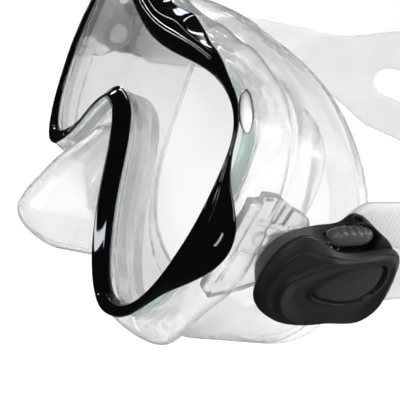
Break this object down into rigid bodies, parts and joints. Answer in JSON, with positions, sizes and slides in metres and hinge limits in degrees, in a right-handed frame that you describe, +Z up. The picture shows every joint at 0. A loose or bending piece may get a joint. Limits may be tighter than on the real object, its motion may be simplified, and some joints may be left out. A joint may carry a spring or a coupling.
{
  "type": "diving mask",
  "caption": "Single-window diving mask with a black bezel, clear frame, soft skirt with nose pocket, and a ribbed strap on swivelling quick-release buckles.",
  "frame": {"origin": "middle of the face seal, on the wearer's midline", "axes": "+Z up as worn, -Y the way the wearer looks, +X to the wearer's left"},
  "size_m": [0.1846, 0.1802, 0.1282],
  "materials": {
    "tempered_glass": "polished, green at the edge",
    "gloss_black": "high gloss",
    "clear_polycarbonate": "clear moulded plastic",
    "clear_silicone": "frosted, translucent",
    "ribbed_silicone": "ribbed, translucent",
    "matte_black": "fine satin texture",
    "inlay_grey": "smooth satin",
    "button_grey": "ribbed, satin",
    "acetal": "moulded",
    "steel": "stainless"
  },
  "bodies": {
    "mask": {"lens": "tempered_glass", "bezel": "gloss_black", "frame": "clear_polycarbonate", "skirt": "clear_silicone", "buckle_arm_left": "clear_polycarbonate", "buckle_arm_right": "clear_polycarbonate"},
    "harness": {"strap": "ribbed_silicone", "pivot_pin_left": "steel", "buckle_housing_left": "matte_black", "buckle_cover_left": "matte_black", "cover_inlay_left": "inlay_grey", "button_spring_left": "steel", "pawl_pin_left": "steel", "roller_pin_left": "steel", "pivot_pin_right": "steel", "buckle_housing_right": "matte_black", "buckle_cover_right": "matte_black", "cover_inlay_right": "inlay_grey", "button_spring_right": "steel", "pawl_pin_right": "steel", "roller_pin_right": "steel"},
    "button_left": {"release_button_left": "button_grey"},
    "pawl_left": {"pawl_left": "acetal"},
    "roller_left": {"strap_roller_left": "acetal"},
    "button_right": {"release_button_right": "button_grey"},
    "pawl_right": {"pawl_right": "acetal"},
    "roller_right": {"strap_roller_right": "acetal"}
  },
  "joints": [
    {"name": "strap_swing", "type": "hinge", "parent": "mask", "child": "harness", "pos_m": [0, -0.022, 0.008], "axis": [1, 0, 0], "range_deg": [-30, 30]},
    {"name": "button_press_left", "type": "slide", "parent": "harness", "child": "button_left", "axis": [0, 0.2588, -0.9659], "range_m": [0, 0.0018], "stiffness_N_per_m": 400, "springref_m": -0.002, "deforming": ["button_spring_left"]},
    {"name": "pawl_turn_left", "type": "hinge", "parent": "harness", "child": "pawl_left", "pos_m": [0.0859, -0.02016, 0.00461], "axis": [0, -0.2588, 0.9659], "range_deg": [-6.5, 0]},
    {"name": "roller_spin_left", "type": "hinge", "parent": "harness", "child": "roller_left", "pos_m": [0.083, -0.00981, 0.01002], "axis": [0, -0.2588, 0.9659], "continuous": true},
    {"name": "button_press_right", "type": "slide", "parent": "harness", "child": "button_right", "axis": [0, 0.2588, -0.9659], "range_m": [0, 0.0018], "stiffness_N_per_m": 400, "springref_m": -0.002, "deforming": ["button_spring_right"]},
    {"name": "pawl_turn_right", "type": "hinge", "parent": "harness", "child": "pawl_right", "pos_m": [-0.0859, -0.02016, 0.00461], "axis": [0, -0.2588, 0.9659], "range_deg": [0, 6.5]},
    {"name": "roller_spin_right", "type": "hinge", "parent": "harness", "child": "roller_right", "pos_m": [-0.083, -0.00981, 0.01002], "axis": [0, -0.2588, 0.9659], "continuous": true}
  ],
  "couplings": [
    {"joint": "pawl_turn_left", "follows": "button_press_left", "rad_per_m": -58.178},
    {"joint": "pawl_turn_right", "follows": "button_press_right", "rad_per_m": 58.178}
  ]
}
